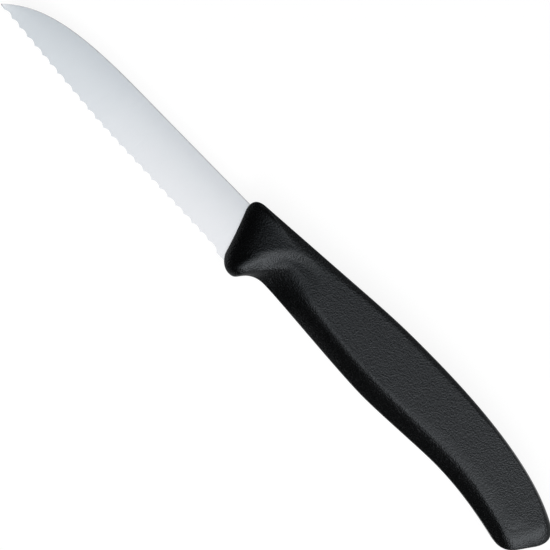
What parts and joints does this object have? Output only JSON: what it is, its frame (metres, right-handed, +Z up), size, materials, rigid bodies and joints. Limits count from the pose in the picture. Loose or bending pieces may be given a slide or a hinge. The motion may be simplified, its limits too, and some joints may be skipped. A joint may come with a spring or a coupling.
{
  "type": "serrated paring knife",
  "caption": "Small kitchen knife with a scalloped stamped-steel blade, a back curving down to a point, and a one-piece moulded plastic handle with a guard and finger groove.",
  "frame": {"origin": "on the surface the knife lies on, under the middle of its box", "axes": "+X from the blade's tip to the butt, +Y from the edge to the back, +Z up through the left cheek, with the right cheek on the surface"},
  "size_m": [0.1868, 0.0214, 0.0124],
  "materials": {
    "blade_steel": "fine satin grind across the blade, polished back",
    "handle_plastic": "fine spark-eroded grain, matt black"
  },
  "bodies": {
    "root": {"blade": "blade_steel", "handle": "handle_plastic"}
  },
  "joints": []
}
